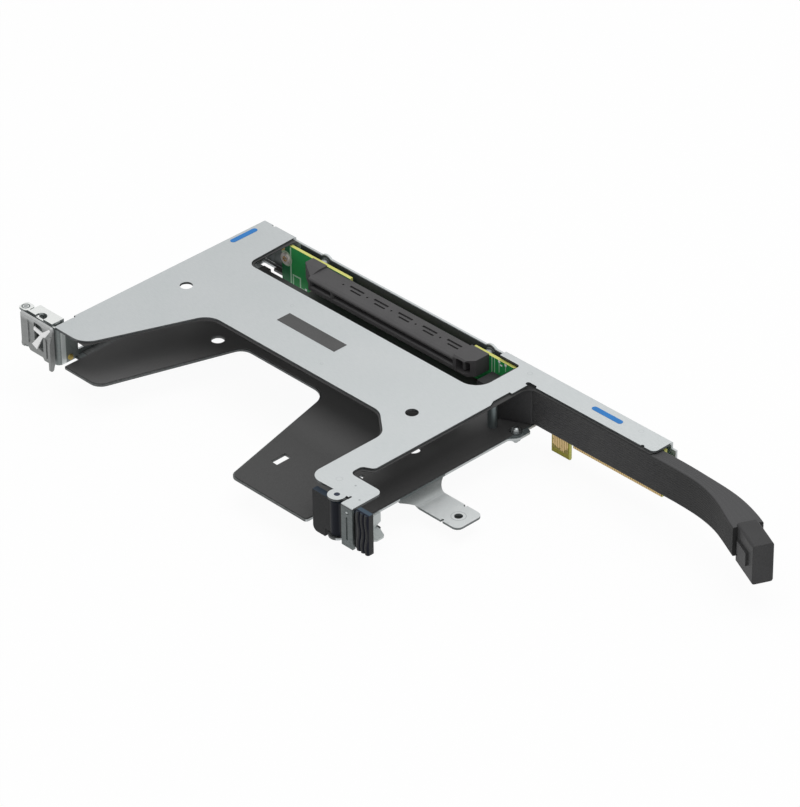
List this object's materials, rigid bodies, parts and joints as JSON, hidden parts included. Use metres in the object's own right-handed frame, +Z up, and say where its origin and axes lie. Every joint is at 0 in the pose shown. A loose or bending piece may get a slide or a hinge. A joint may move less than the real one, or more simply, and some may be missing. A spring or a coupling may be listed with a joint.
{
  "type": "server riser",
  "caption": "Folded-steel riser cage that holds an expansion card flat over a low server's main board, with its slot board, two card latches and a cable stub.",
  "frame": {"origin": "centre of the foot's screw hole, on the foot's underside", "axes": "+X along the riser from the server's rear to its front, +Y from the open card side to the riser's own board, +Z up"},
  "size_m": [0.3381, 0.1271, 0.0351],
  "materials": {
    "zinc_steel": "satin galvanised sheet steel",
    "bare_steel": "bare pressed steel",
    "bright_steel": "bright rolled steel strip",
    "standoff_steel": "turned, nickel plated",
    "brass": "turned brass rivet",
    "film": "matte dark polyester insulating film",
    "board": "green solder mask over glass-epoxy laminate",
    "gold": "hard gold plating on copper pads",
    "slot_black": "moulded glass-filled nylon",
    "latch_black": "moulded ABS blend",
    "plug_black": "moulded nylon plug",
    "cable_black": "matte insulated wire",
    "label_grey": "printed label field",
    "mark_blue": "blue touch mark"
  },
  "bodies": {
    "cage": {"top_plate": "zinc_steel", "lower_plate": "zinc_steel", "foot_bracket": "zinc_steel", "foot_rivets": "bright_steel", "seam_rivets": "bright_steel", "rear_rivets": "brass", "top_film": "film", "wall_film": "film", "lower_film": "film", "riser_board": "board", "power_fingers": "gold", "signal_fingers": "gold", "card_slot": "slot_black", "slot_contacts": "gold", "board_standoffs": "standoff_steel", "board_screws": "standoff_steel", "wall_screws": "standoff_steel", "plate_post": "standoff_steel", "guide_stud": "standoff_steel", "card_latch_pin": "standoff_steel", "rear_latch_bracket": "zinc_steel", "rear_latch_pin": "standoff_steel", "label_field": "label_grey", "touch_mark_rear": "mark_blue", "touch_mark_rail": "mark_blue", "board_plug": "plug_black", "cable": "cable_black", "far_plug": "plug_black"},
    "card_latch": {"card_latch": "latch_black"},
    "rear_latch": {"rear_latch": "bare_steel", "rear_latch_strip": "bright_steel"}
  },
  "joints": [
    {"name": "card_latch_turn", "type": "hinge", "parent": "cage", "child": "card_latch", "pos_m": [-0.0189, -0.0485, 0.016], "axis": [0, 0, 1], "range_deg": [0, 15], "stiffness_Nm_per_rad": 0.02},
    {"name": "rear_latch_turn", "type": "hinge", "parent": "cage", "child": "rear_latch", "pos_m": [-0.2116, -0.0455, 0.017], "axis": [0, 0, 1], "range_deg": [-95, 0]}
  ]
}
